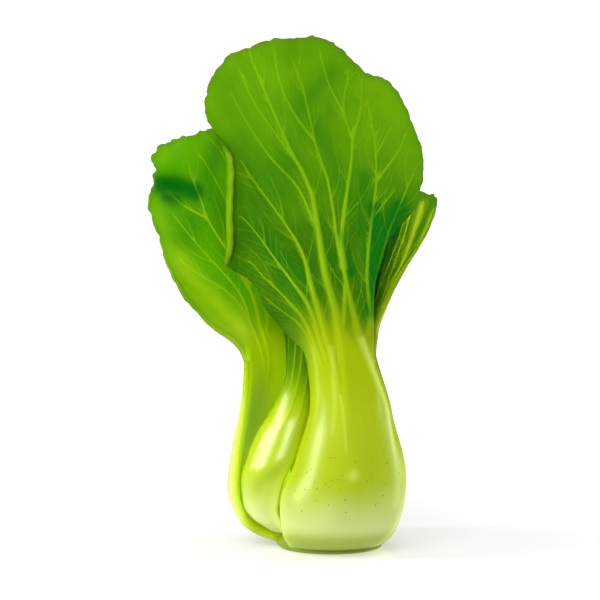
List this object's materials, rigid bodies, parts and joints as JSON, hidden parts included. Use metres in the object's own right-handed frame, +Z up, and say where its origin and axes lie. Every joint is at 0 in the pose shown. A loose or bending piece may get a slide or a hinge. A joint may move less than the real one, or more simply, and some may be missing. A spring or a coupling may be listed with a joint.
{
  "type": "bok choy head",
  "caption": "Upright head of baby bok choy: spoon-shaped green leaves on broad pale petioles nested round a short cut stem.",
  "frame": {"origin": "centre of the flat underside of the cut stem, which the head stands on", "axes": "+Z up along the head; -Y is the front, where the largest outer leaf is; +X to the right seen from the front"},
  "size_m": [0.1025, 0.0635, 0.1841],
  "materials": {
    "leaf": "satin",
    "heart_leaf": "satin",
    "stem": "matte"
  },
  "bodies": {
    "root": {"stem_base": "stem", "leaf_front": "leaf", "leaf_left": "leaf", "leaf_front_left": "leaf", "leaf_right": "leaf", "leaf_back": "leaf", "leaf_inner_left": "leaf", "leaf_inner_right": "leaf", "leaf_back_right": "leaf", "heart_leaf_a": "heart_leaf", "heart_leaf_b": "heart_leaf", "heart_leaf_c": "heart_leaf"}
  },
  "joints": []
}
